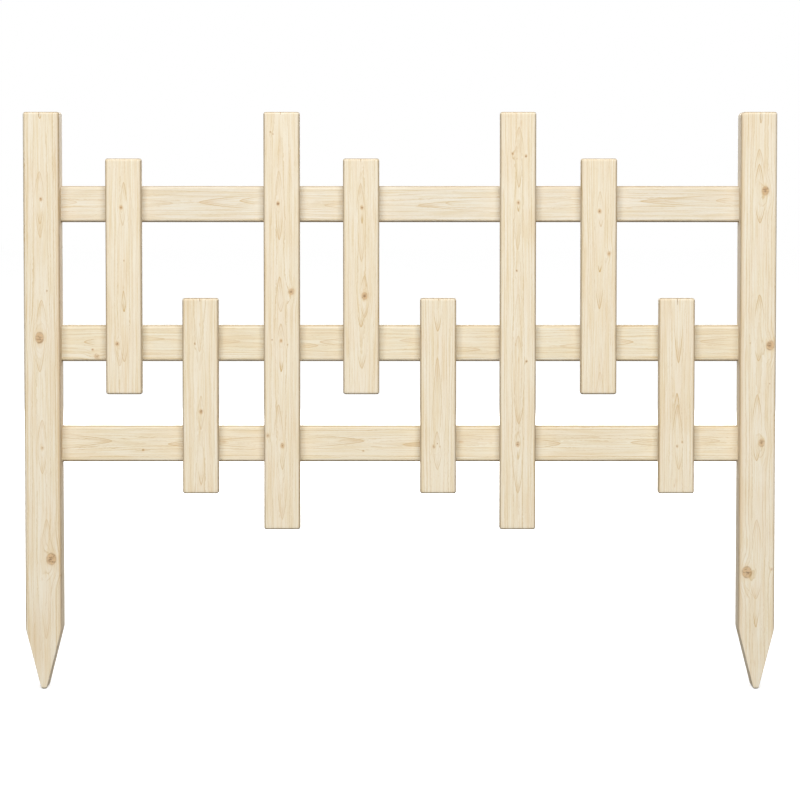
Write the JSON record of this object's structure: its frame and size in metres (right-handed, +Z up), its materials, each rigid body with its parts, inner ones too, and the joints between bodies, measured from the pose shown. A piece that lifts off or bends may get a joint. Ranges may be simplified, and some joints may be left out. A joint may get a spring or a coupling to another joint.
{
  "type": "decorative fence panel",
  "caption": "Low wooden garden fence panel: square pointed posts, horizontal rails and flat pickets of three lengths at staggered heights on the front.",
  "frame": {"origin": "on the outer side face of the left post, at ground level, in the middle of the post's depth", "axes": "+X along the panel from the left post to the right post as seen from the front, +Y from the front (picket) side to the back, +Z up; the front looks along -Y, and z = 0 is the ground line, with the posts' points below it"},
  "size_m": [1.04, 0.05, 0.8],
  "materials": {
    "post_wood": "planed, unfinished pale softwood with knots",
    "rail_wood": "planed, unfinished pale softwood",
    "picket_wood": "planed, unfinished pale softwood with knots"
  },
  "bodies": {
    "root": {"left_post": "post_wood", "right_post": "post_wood", "top_rail": "rail_wood", "middle_rail": "rail_wood", "bottom_rail": "rail_wood", "long_picket_1": "picket_wood", "long_picket_2": "picket_wood", "upper_picket_1": "picket_wood", "upper_picket_2": "picket_wood", "upper_picket_3": "picket_wood", "lower_picket_1": "picket_wood", "lower_picket_2": "picket_wood", "lower_picket_3": "picket_wood"}
  },
  "joints": []
}
